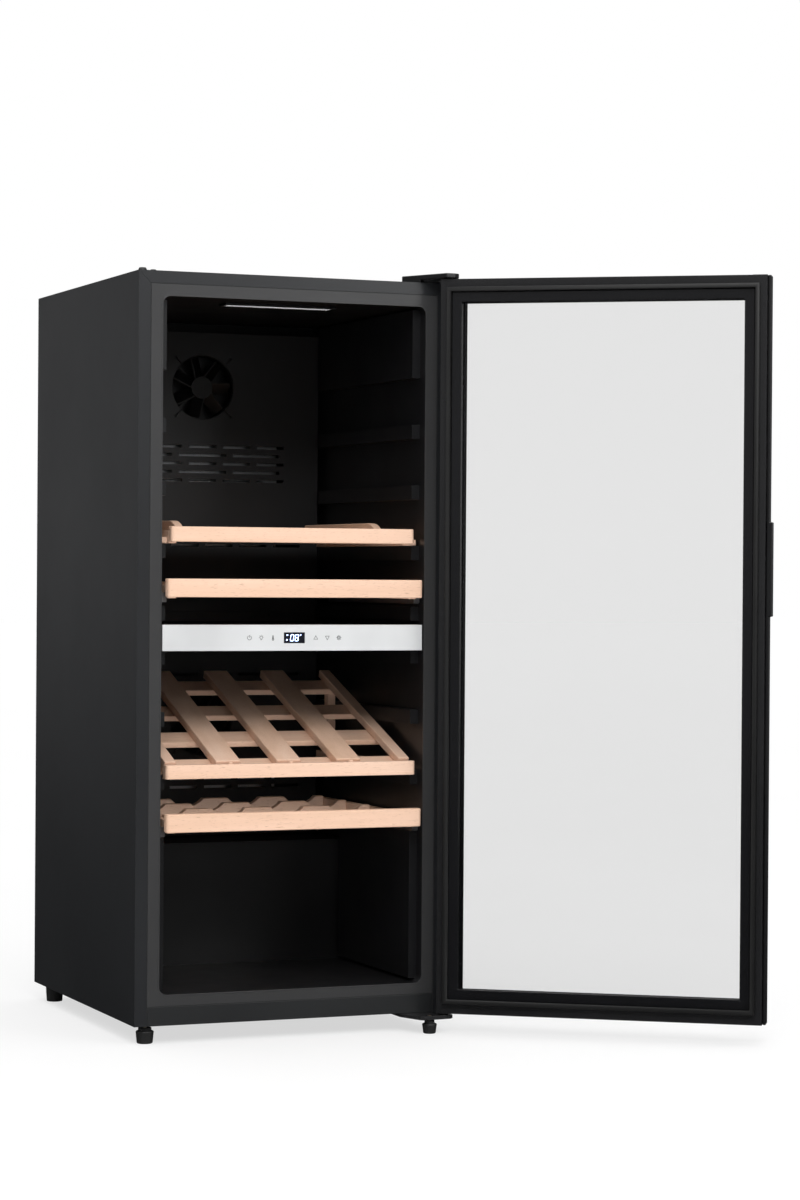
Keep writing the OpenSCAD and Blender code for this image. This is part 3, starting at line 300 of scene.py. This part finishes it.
def glass(name, tint):
    """Flat pane: each face tints what passes through, and the near one mirrors more at a low angle."""
    s = Shader(name, tint, 0.03)
    clear = s.node("ShaderNodeBsdfTransparent", Color=(*tint, 1))
    shine = s.node("ShaderNodeBsdfGlossy", Color=(1, 1, 1, 1))
    smear = s.noise((2.5, 2.5, 2.5), 4)
    s.link(s.ramp(smear, [(0.3, 0.004), (0.8, 0.012)]), shine.inputs["Roughness"])
    near_face = s.calc("SUBTRACT", 1, s.node("ShaderNodeNewGeometry").outputs["Backfacing"])
    mirrored = s.calc("MULTIPLY", s.node("ShaderNodeFresnel", IOR=1.5).outputs[0], near_face)
    s.surface(mirrored, clear.outputs[0], shine.outputs[0])


def glowing(name, color, strength, rough=0.4):
    """Lit plastic with a soft mottle in its brightness."""
    s = Shader(name, color, rough)
    s.bsdf.inputs["Emission Color"].default_value = (*color, 1)
    s.link(s.ramp(s.noise((180, 180, 180), 3), [(0.2, strength * 0.85), (0.8, strength * 1.1)]),
           s.bsdf.inputs["Emission Strength"])
    s.bump(s.noise((700, 700, 700), 2), 0.00003)


def lined(name, color, painted_rim_highlight, rough):
    """The liner's plastic: fine grain, with the flange on the cabinet's front painted paler than the tub, a
    painted highlight for the light that the flange catches.
    """
    s = moulded(name, color, rough, 700)
    split = s.node("ShaderNodeSeparateXYZ")
    s.link(s.coords((1, 1, 1)), split.inputs[0])
    flange_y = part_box("inner_liner")[0].y
    behind, fade = 0.0022, 0.0010
    inside = s.node("ShaderNodeMapRange", From_Min=flange_y + behind, From_Max=flange_y + behind + fade)
    s.link(split.outputs["Y"], inside.inputs["Value"])
    tub = s.bsdf.inputs["Base Color"].links[0].from_socket
    # The flange takes the painted highlight colour; the tub behind it keeps its own grained colour.
    s.link(s.mix(inside.outputs["Result"], (*painted_rim_highlight, 1), tub), s.bsdf.inputs["Base Color"])


def add_floor_material():
    """White floor that stays white where the lamps no longer reach, with faint shadows."""
    s = Shader("floor", (0.93, 0.93, 0.93), 0.6)
    s.bsdf.inputs["Emission Color"].default_value = (1, 1, 1, 1)
    s.vary_rough(s.noise((2, 2, 2), 3), 0.55, 0.65)
    away = s.node("ShaderNodeVectorMath")
    away.operation = "LENGTH"
    s.link(s.coords((0.03, 0.03, 0.03)), away.inputs[0])
    s.link(s.ramp(away.outputs["Value"], [(0.05, 0.0), (0.2, 0.05), (0.6, 0.09)]),
           s.bsdf.inputs["Emission Strength"])
    # Seen directly, most of its light is even, as on a lit table, so the shadows on it stay faint.
    even_share = 0.65
    even = s.node("ShaderNodeEmission", Color=(1, 1, 1, 1), Strength=1.0)
    seen = s.node("ShaderNodeLightPath").outputs["Is Camera Ray"]
    s.surface(s.calc("MULTIPLY", seen, even_share), s.bsdf.outputs["BSDF"], even.outputs["Emission"])


def add_materials():
    painted("shell_paint", (0.016, 0.017, 0.019), 0.34)
    painted("flange_paint", (0.018, 0.019, 0.020), 0.34)
    painted("back_paint", (0.030, 0.031, 0.033), 0.55)
    painted("tray_paint", (0.05, 0.05, 0.052), 0.5)
    painted("hinge_paint", (0.020, 0.020, 0.021), 0.16)
    painted("compressor_paint", (0.008, 0.008, 0.009), 0.22, 0.00006)
    painted("condenser_paint", (0.012, 0.012, 0.012), 0.35)
    # The third colour is a painted highlight on the liner's front flange.
    lined("liner_plastic", (0.008, 0.008, 0.009), (0.038, 0.038, 0.039), 0.34)
    moulded("duct_plastic", (0.013, 0.013, 0.014), 0.42, 800)
    moulded("fan_plastic", (0.004, 0.004, 0.004), 0.45)
    moulded("cover_plastic", (0.006, 0.006, 0.007), 0.34)
    moulded("foot_plastic", (0.018, 0.018, 0.018), 0.5, 600)
    moulded("frame_plastic", (0.012, 0.012, 0.013), 0.24, 500, 0.00002, 0.0010, 0.2)
    moulded("gasket_rubber", (0.007, 0.007, 0.007), 0.5, 1200, 0.00005)
    moulded("bush_plastic", (0.55, 0.55, 0.52), 0.4)
    moulded("panel_plastic", (0.64, 0.65, 0.655), 0.34, 1400, 0.00002, 0.0010)
    moulded("print_black", (0.006, 0.006, 0.007), 0.18)
    moulded("print_grey", (0.045, 0.046, 0.05), 0.5)
    moulded("window_dark", (0.003, 0.004, 0.010), 0.08, 400, 0.000004, 0.0006, 0.6)
    # Near-black painted shade for the cross recess of the back screws.
    moulded("painted_recess_shade", (0.004, 0.004, 0.004), 0.6)
    glowing("digit_light", (0.50, 0.62, 1.0), 5.0)
    glowing("lens_frost", (0.90, 0.93, 0.96), 0.15, 0.55)
    brushed("zinc", (0.66, 0.60, 0.48), 0.32)
    brushed("runner_steel", (0.40, 0.40, 0.41), 0.38, (900, 5, 900))
    brushed("bar_aluminium", (0.030, 0.030, 0.032), 0.40, (900, 900, 4))
    brushed("fin_aluminium", (0.72, 0.73, 0.75), 0.35, (900, 900, 6))
    brushed("copper", (0.72, 0.33, 0.19), 0.30)
    beech("beech_x", 0)
    beech("beech_y", 1)
    glass("door_glass", (0.952, 0.952, 0.952))
    foam = Shader("foam", (0.80, 0.74, 0.52), 0.9)
    foam.vary_color(foam.noise((60, 60, 60), 4), 0.82, 1.1)
    foam.bump(foam.noise((400, 400, 400), 4), 0.0004)
    add_floor_material()


# ---------------------------------------------------------------- mesh helpers

def finish_mesh(name, bm, mat, smooth=35):
    """Object from a bmesh, smooth except at edges sharper than smooth degrees."""
    bmesh.ops.recalc_face_normals(bm, faces=bm.faces)
    mesh = bpy.data.meshes.new(name)
    bm.to_mesh(mesh)
    bm.free()
    mesh.polygons.foreach_set("use_smooth", [True] * len(mesh.polygons))
    mesh.set_sharp_from_angle(angle=math.radians(smooth))
    mesh.materials.append(mat)
    obj = bpy.data.objects.new(name, mesh)
    scene.collection.objects.link(obj)
    return obj


def place(obj, body, slot, *stands_for):
    """Hides the CAD nodes that a piece replaces and sets it on the body that it rides. The slot argument is not
    used.
    """
    if stands_for:
        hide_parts(*stands_for)
    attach(obj, body)
    return obj


def body_of_node(node):
    return next(b for b, names in record["behaviour"]["bodies"].items() if node in names)


def slot_of_node(node):
    return next(s["material_slot"] for s in record["subparts"] if s["node"] == node)


def bevel_hard_edges(bm, width, segments):
    """Rounds the edges where two faces meet at more than 30 degrees."""
    hard = math.radians(30)
    edges = [e for e in bm.edges if len(e.link_faces) == 2 and e.calc_face_angle(0) > hard]
    bmesh.ops.bevel(bm, geom=edges, offset=width, offset_type="OFFSET", segments=segments, profile=0.5,
                    affect="EDGES", clamp_overlap=True)


def soften(node, mat, width, segments):
    """A piece in a CAD node's place, with the same faces and its hard edges rounded by width."""
    bm = bmesh.new()
    bm.from_mesh(nodes[node].data)
    bmesh.ops.remove_doubles(bm, verts=bm.verts, dist=1e-6)
    bmesh.ops.dissolve_limit(bm, angle_limit=math.radians(0.5), verts=bm.verts, edges=bm.edges)
    bevel_hard_edges(bm, width, segments)
    obj = finish_mesh(node + "_piece", bm, MAT[mat])
    even = obj.modifiers.new("even_shading", "WEIGHTED_NORMAL")
    even.weight = 100
    even.keep_sharp = True
    return place(obj, body_of_node(node), slot_of_node(node), node)


def paint(mat, *names):
    """New material on CAD nodes whose shape is kept."""
    for name in names:
        mesh = nodes[name].data
        mesh.materials.clear()
        mesh.materials.append(MAT[mat])
        mesh.polygons.foreach_set("use_smooth", [True] * len(mesh.polygons))
        mesh.set_sharp_from_angle(angle=math.radians(30))


def add_box(bm, lo, hi):
    """Box between two corners."""
    lo, hi = Vector(lo), Vector(hi)
    made = bmesh.ops.create_cube(bm, size=1.0)["verts"]
    for v in made:
        v.co = Vector([lo[i] + (v.co[i] + 0.5) * (hi[i] - lo[i]) for i in range(3)])
    return made


def add_prism(bm, outline, thick):
    """Closed plan outline in X and Z, thick along Y from 0 back to thick."""
    front = [bm.verts.new((x, 0, z)) for x, z in outline]
    rear = [bm.verts.new((x, thick, z)) for x, z in outline]
    bm.faces.new(front)
    bm.faces.new(list(reversed(rear)))
    for i in range(len(outline)):
        j = (i + 1) % len(outline)
        bm.faces.new((front[i], rear[i], rear[j], front[j]))
    return front + rear


def add_turned(bm, profile, steps):
    """Solid turned round Z from (radius, height) points; both ends lie on the axis or are capped."""
    rings = []
    for r, z in profile:
        if r < 1e-7:
            rings.append([bm.verts.new((0, 0, z))])
        else:
            turns = [2 * math.pi * i / steps for i in range(steps)]
            rings.append([bm.verts.new((r * math.cos(t), r * math.sin(t), z)) for t in turns])
    for a, b in zip(rings, rings[1:]):
        for i in range(steps):
            j = (i + 1) % steps
            if len(a) == 1:
                bm.faces.new((a[0], b[i], b[j]))
            elif len(b) == 1:
                bm.faces.new((a[i], b[0], a[j]))
            else:
                bm.faces.new((a[i], b[i], b[j], a[j]))
    for end in (rings[0], rings[-1]):
        if len(end) > 1:
            bm.faces.new(end)
    return [v for ring in rings for v in ring]


def add_frame_sweep(bm, x, z0, z1, profile):
    """Mitred rectangular ring in XZ: profile points are (outward from the ring line, y)."""
    corners = [(-x, z0, -1, -1), (x, z0, 1, -1), (x, z1, 1, 1), (-x, z1, -1, 1)]
    rings = []
    for cx, cz, sx, sz in corners:
        rings.append([bm.verts.new((cx + sx * out, y, cz + sz * out)) for out, y in profile])
    count = len(profile)
    for k in range(4):
        a, b = rings[k], rings[(k + 1) % 4]
        for i in range(count):
            j = (i + 1) % count
            bm.faces.new((a[i], a[j], b[j], b[i]))


def back_screw(name, at, radius=0.004, height=0.0022):
    """Domed zinc screw head on the cabinet, facing back, with a dark cross on its dome, painted shade standing for
    the cross recess.
    """
    bm = bmesh.new()
    dome = [(radius * math.sin(t), height * math.cos(t)) for t in [i * math.pi / 12 for i in range(7)]]
    add_turned(bm, dome, 24)
    half_long, half_wide = radius * 0.62, radius * 0.11
    for turn in (0, math.pi / 2):
        bar = add_box(bm, (-half_long, -half_wide, height * 0.84), (half_long, half_wide, height * 1.02))
        bmesh.ops.rotate(bm, verts=bar, cent=(0, 0, 0), matrix=Matrix.Rotation(turn, 3, "Z"))
    obj = finish_mesh(name, bm, MAT["zinc"])
    # The cross's top faces get the near-black painted shade of a recess.
    obj.data.materials.append(MAT["painted_recess_shade"])
    for poly in obj.data.polygons:
        if poly.center.z > height:
            poly.material_index = 1
    obj.matrix_world = Matrix.Translation(at) @ Vector((0, 1, 0)).to_track_quat("Z", "Y").to_matrix().to_4x4()
    place(obj, "cabinet", "zinc")


# ---------------------------------------------------------------- door frame of reference

hinge = next(j for j in frame["joints"] if j["type"] == "hinge" and j["child"] == "door")
hinge_at = Vector(hinge["pos_m"])
open_by = -math.radians(hinge["range_deg"][0])
DOOR = Matrix.Translation(hinge_at) @ Matrix.Rotation(open_by, 4, "Z") @ Matrix.Translation(-hinge_at)
SHUT = DOOR.inverted()


def shut_box(node):
    """Lowest and highest corner of a door node with the door shut."""
    points = [SHUT @ v.co for v in nodes[node].data.vertices]
    return tuple(Vector([pick(p[i] for p in points) for i in range(3)]) for pick in (min, max))


def hang(obj, slot, *stands_for):
    """Turns a piece built for the shut door to where the door stands."""
    obj.matrix_world = DOOR @ obj.matrix_world
    return place(obj, "door", slot, *stands_for)


# ---------------------------------------------------------------- pieces

def dress_cabinet():
    """Sheet metal, plastics and machinery of the cabinet."""
    soften("outer_shell", "shell_paint", 0.0004, 2)
    soften("kick_panel", "flange_paint", 0.0005, 2)
    soften("hinge_cover", "cover_plastic", 0.0009, 3)
    soften("hinge_plate_bottom", "hinge_paint", 0.0012, 3)
    soften("light_housing", "liner_plastic", 0.0008, 2)
    soften("zone_divider", "liner_plastic", 0.0015, 2)
    paint("liner_plastic", "inner_liner")
    paint("duct_plastic", "duct_cover_upper", "duct_cover_lower")
    paint("foam", "insulation")
    paint("back_paint", "back_panel", "rear_cover")
    paint("tray_paint", "base_tray")
    paint("compressor_paint", "compressor")
    paint("condenser_paint", "condenser")
    paint("copper", "refrigerant_pipes")
    paint("gasket_rubber", "compressor_mounts")
    paint("foot_plastic", "cord_gland")
    paint("fin_aluminium", "evaporator_upper", "evaporator_lower")
    paint("fan_plastic", "fan_frame_upper", "fan_frame_lower", "impeller_upper", "impeller_lower")
    paint("hinge_paint", "hinge_plate_top")
    paint("zinc", "hinge_screws", "foot_stud_left", "foot_stud_right")
    paint("runner_steel", "runner_rails", "shelf2_runners", "shelf4_runners")
    soften("rear_feet", "foot_plastic", 0.0015, 3)


def dress_light():
    """Lens with fine ribs across it, one closed solid."""
    lo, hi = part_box("light_lens")
    ribs, rib_h = 44, 0.0006
    step = (hi.x - lo.x) / ribs
    outline = [(lo.x, hi.z)]
    for i in range(ribs):
        outline += [(lo.x + i * step, lo.z + rib_h), (lo.x + (i + 0.5) * step, lo.z)]
    outline += [(hi.x, lo.z + rib_h), (hi.x, hi.z)]
    bm = bmesh.new()
    for v in add_prism(bm, outline, hi.y - lo.y):
        v.co.y += lo.y
    place(finish_mesh("light_lens_piece", bm, MAT["lens_frost"], 20), "cabinet", "lens", "light_lens")


def dress_feet():
    """Front feet, turned with a collar on top and fluted round the grip."""
    flutes, flute_depth = 16, 0.035
    for side in ("left", "right"):
        node = "foot_" + side
        lo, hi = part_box(node)
        centre = (lo + hi) / 2
        r = (hi.x - lo.x) / 2
        h = hi.z - lo.z
        bm = bmesh.new()
        sole = [(0, 0), (r - 0.0035, 0), (r - 0.0022, 0.0008), (r - 0.0016, 0.0025)]
        grip = [(r - 0.0002, h - 0.0085), (r, h - 0.0072), (r - 0.0006, h - 0.0058)]
        neck = r - 0.0040
        collar = [(r - 0.0032, h - 0.0046), (neck, h - 0.0038), (neck, h - 0.0006), (r - 0.0046, h)]
        verts = add_turned(bm, [*sole, *grip, *collar, (0, h)], 96)
        for v in verts:
            radius = math.hypot(v.co.x, v.co.y)
            if 0.002 < v.co.z < h - 0.008 and radius > r * 0.8:
                angle = math.atan2(v.co.y, v.co.x)
                pull = 1 - flute_depth * (0.5 + 0.5 * math.cos(angle * flutes))
                v.co.x *= pull
                v.co.y *= pull
        obj = finish_mesh(node + "_piece", bm, MAT["foot_plastic"])
        obj.location = (centre.x, centre.y, lo.z)
        place(obj, body_of_node(node), "foot_plastic", node)


PRINT_DEPTH = 0.00012


def segment(bm, x, z, length, upright, deep, thick=0.0010):
    """One bar of a seven-segment digit, pointed at both ends."""
    half, t = length / 2, thick / 2
    outline = [(-half, 0), (-half + t, t), (half - t, t), (half, 0), (half - t, -t), (-half + t, -t)]
    if upright:
        outline = [(b, -a) for a, b in outline]
    made = add_prism(bm, outline, deep)
    for v in made:
        v.co.x += x
        v.co.z += z


def dress_panel():
    """Panel, display with its digits, and printed key symbols."""
    soften("control_panel", "panel_plastic", 0.0012, 3)
    soften("display_window", "window_dark", 0.0004, 2)
    lo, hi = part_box("display_window")
    mid = (lo + hi) / 2
    bar, gap, deep = 0.0052, 0.0003, 0.0003
    spots = {"a": (0, bar, False), "d": (0, -bar, False), "g": (0, 0, False),
             "b": (bar / 2, bar / 2, True), "c": (bar / 2, -bar / 2, True),
             "e": (-bar / 2, -bar / 2, True), "f": (-bar / 2, bar / 2, True)}
    bm = bmesh.new()
    for lit, digit_x in (("abcdef", -0.0042), ("abcdefg", 0.0042)):
        for letter in lit:
            x, z, upright = spots[letter]
            segment(bm, digit_x + x, z, bar - gap, upright, deep)
    degree_x, degree_z, degree_r = 0.0104, 0.0046, 0.0011
    add_prism(bm, arc(degree_x, degree_z, degree_r, 0, 337.5, 15), deep)
    # Two small marks left of the digits, one for each zone.
    for z in (0.0045, -0.0035):
        add_box(bm, (-0.0142, 0, z - 0.0009), (-0.0118, deep, z + 0.0009))
    slant = 0.10
    for v in bm.verts:
        v.co.x += v.co.z * slant
    digits = finish_mesh("display_digits", bm, MAT["digit_light"])
    digits.location = (mid.x, lo.y - deep, mid.z)
    place(digits, "cabinet", "display_glass")

    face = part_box("control_panel")[0].y
    first, pitch, enlarged = 0.0380, 0.0207, 1.15
    for side, symbols in ((-1, ("thermometer", "bulb", "power")), (1, ("up", "down", "gear"))):
        for step, symbol in enumerate(symbols):
            bm = bmesh.new()
            SYMBOLS[symbol](bm)
            icon = finish_mesh("key_" + symbol, bm, MAT["print_grey"])
            icon.location = (mid.x + side * (first + step * pitch), face - PRINT_DEPTH, mid.z)
            icon.scale = (enlarged, 1, enlarged)
            place(icon, "cabinet", "panel_grey")


def stroke(bm, points, width=0.0006, closed=False):
    """Flat line of one width through points in X and Z."""
    count = len(points)
    for i in range(count if closed else count - 1):
        a, b = Vector(points[i]), Vector(points[(i + 1) % count])
        run = (b - a).normalized() * width / 2
        side = Vector((-run.y, run.x))
        corners = (a - run - side, b + run - side, b + run + side, a - run + side)
        add_prism(bm, [tuple(p) for p in corners], PRINT_DEPTH)


def arc(cx, cz, r, a0, a1, steps=18):
    """Points of an arc in X and Z, from angle a0 to a1 in degrees."""
    turns = [math.radians(a0 + (a1 - a0) * i / steps) for i in range(steps + 1)]
    return [(cx + r * math.cos(t), cz + r * math.sin(t)) for t in turns]


def rays(bm, cz, r0, r1, end, width):
    """Short strokes out from radius r0 to r1, one each 45 degrees from 0 to before end."""
    for a in range(0, end, 45):
        c, s = math.cos(math.radians(a)), math.sin(math.radians(a))
        stroke(bm, [(c * r0, cz + s * r0), (c * r1, cz + s * r1)], width)


def power_symbol(bm):
    stroke(bm, arc(0, 0, 0.0030, 120, 420))
    stroke(bm, [(0, 0.0006), (0, 0.0038)])


def bulb_symbol(bm):
    stroke(bm, arc(0, 0.0006, 0.0020, -50, 230))
    stroke(bm, [(-0.0011, -0.0018), (0.0011, -0.0018)])
    stroke(bm, [(-0.0008, -0.0028), (0.0008, -0.0028)])
    rays(bm, 0.0006, 0.0029, 0.0037, 181, 0.0004)


def thermometer_symbol(bm):
    stroke(bm, arc(0, -0.0024, 0.0013, 110, 430))
    stroke(bm, [(-0.0006, -0.0012), (-0.0006, 0.0030), (0.0006, 0.0030), (0.0006, -0.0012)])
    stroke(bm, [(0, -0.0024), (0, 0.0012)], 0.0005)


def up_symbol(bm):
    stroke(bm, [(-0.0030, -0.0022), (0.0030, -0.0022), (0, 0.0030)], closed=True)


def down_symbol(bm):
    stroke(bm, [(-0.0030, 0.0022), (0.0030, 0.0022), (0, -0.0030)], closed=True)


def gear_symbol(bm):
    stroke(bm, arc(0, 0, 0.0012, 0, 360, 14), 0.0004)
    stroke(bm, arc(0, 0, 0.0023, 0, 360, 20), 0.0004)
    rays(bm, 0, 0.0023, 0.0033, 360, 0.0008)


SYMBOLS = {"power": power_symbol, "bulb": bulb_symbol, "thermometer": thermometer_symbol,
           "up": up_symbol, "down": down_symbol, "gear": gear_symbol}


def dress_door():
    """Inner frame with its raised band in gloss black, edge strip, panes, gasket and black border."""
    inner = soften("door_inner_frame", "frame_plastic", 0.0009, 3)
    inner.data.materials.append(MAT["print_black"])
    slack = 0.0005
    raised = max((SHUT @ v.co).y for v in inner.data.vertices) - slack
    for poly in inner.data.polygons:
        if (SHUT @ poly.center).y > raised:
            poly.material_index = 1
    soften("door_grip", "cover_plastic", 0.0013, 3)
    soften("door_end_caps", "cover_plastic", 0.0005, 2)
    paint("bar_aluminium", "door_frame")
    paint("print_black", "glass_spacer")
    paint("bush_plastic", "hinge_bushes")
    paint("door_glass", "door_outer_glass", "door_inner_glass")
    add_gasket()
    add_border()


def add_gasket():
    """Bellows gasket: a foot in the groove, a pinched neck and a soft rounded magnet pocket."""
    lo, hi = shut_box("door_gasket")
    foot, lip = lo.y, hi.y
    half = 0.004
    side = [(half, foot), (half, foot + 0.0050),
            (half - 0.0014, foot + 0.0060), (half - 0.0015, foot + 0.0074),
            (half - 0.0004, foot + 0.0086), (half, foot + 0.0096),
            (half - 0.0006, lip - 0.0004), (half - 0.0016, lip)]
    profile = [(-out, y) for out, y in side] + list(reversed(side))
    bm = bmesh.new()
    add_frame_sweep(bm, hi.x - half, lo.z + half, hi.z - half, profile)
    hang(finish_mesh("door_gasket_piece", bm, MAT["gasket_rubber"], 50), "gasket_rubber", "door_gasket")


def add_border():
    """Black border printed on the inside of the outer pane, reaching past the spacer."""
    lo, hi = shut_box("door_outer_glass")
    spacer_w, past_spacer = 0.011, 0.0065
    half = (hi.x - shut_box("glass_spacer")[1].x + spacer_w + past_spacer) / 2
    inset, thick = 0.001, 0.0002
    outer = half - 0.0001
    bm = bmesh.new()
    add_frame_sweep(bm, hi.x - inset - half, lo.z + inset + half, hi.z - inset - half,
                    [(-half, hi.y), (-half, hi.y + thick), (outer, hi.y + thick), (outer, hi.y)])
    hang(finish_mesh("door_border_print", bm, MAT["print_black"]), "spacer_black")


def dress_shelves():
    """Beech shelves, each piece with its grain along its length."""
    for n in (1, 2, 3, 4):
        soften("shelf%d_fascia" % n, "beech_x", 0.0018, 3)
        soften("shelf%d_sides" % n, "beech_y", 0.0009, 2)
    soften("shelf1_slats", "beech_x", 0.0016, 3)
    soften("shelf1_cheeks", "beech_y", 0.0020, 3)
    soften("shelf2_cradles", "beech_x", 0.0012, 2)
    soften("shelf3_slats", "beech_x", 0.0014, 2)
    soften("shelf3_planks", "beech_y", 0.0018, 3)
    soften("shelf4_cradles", "beech_x", 0.0012, 2)


def dress_screws():
    """Screws round the rear cover and down both sides of the back panel."""
    inset = 0.012
    lo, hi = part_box("rear_cover")
    for i, x in enumerate((lo.x + inset, 0.0, hi.x - inset)):
        for j, z in enumerate((lo.z + inset, hi.z - inset)):
            back_screw("rear_cover_screw_%d%d" % (i, j), (x, hi.y, z))
    lo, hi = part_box("back_panel")
    rows, end = 5, 0.02
    for i, x in enumerate((lo.x + inset, hi.x - inset)):
        for j in range(rows):
            z = lo.z + end + j * (hi.z - lo.z - 2 * end) / (rows - 1)
            back_screw("back_screw_%d%d" % (i, j), (x, hi.y, z))


add_materials()
add_camera()
add_studio()
dress_cabinet()
dress_light()
dress_feet()
dress_panel()
dress_door()
dress_shelves()
dress_screws()
